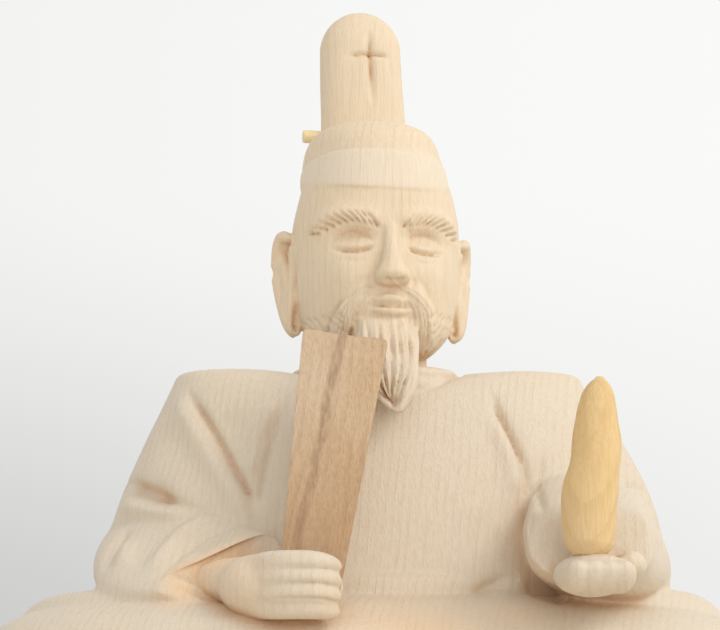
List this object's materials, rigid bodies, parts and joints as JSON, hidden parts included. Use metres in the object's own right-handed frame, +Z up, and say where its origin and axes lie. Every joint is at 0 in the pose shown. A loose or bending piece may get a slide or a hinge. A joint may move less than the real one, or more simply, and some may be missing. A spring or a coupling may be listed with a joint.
{
  "type": "seated deity figurine",
  "caption": "Carved wooden figurine of a seated, bearded deity in court dress with a tall cap, holding a flat baton and an upright bud, on a low plinth.",
  "frame": {"origin": "centre of the plinth's underside, on the surface it stands on", "axes": "+Z up, the figure faces -Y, +X is to the right of someone who faces it"},
  "size_m": [0.102, 0.068, 0.1071],
  "materials": {
    "figure_wood": "raw close-grained pale wood, cut with fine tools, unvarnished and matt",
    "pin_wood": "yellow pale wood, smooth, unvarnished",
    "baton_wood": "browner straight-grained wood with a dark streak down the middle, planed flat, unvarnished",
    "bud_wood": "yellow-brown wood, rounded and smooth, unvarnished",
    "plinth_wood": "pale wood, planed flat with eased edges, unvarnished"
  },
  "bodies": {
    "root": {"figure": "figure_wood", "hairpin": "pin_wood", "baton": "baton_wood", "bud": "bud_wood", "plinth": "plinth_wood"}
  },
  "joints": []
}
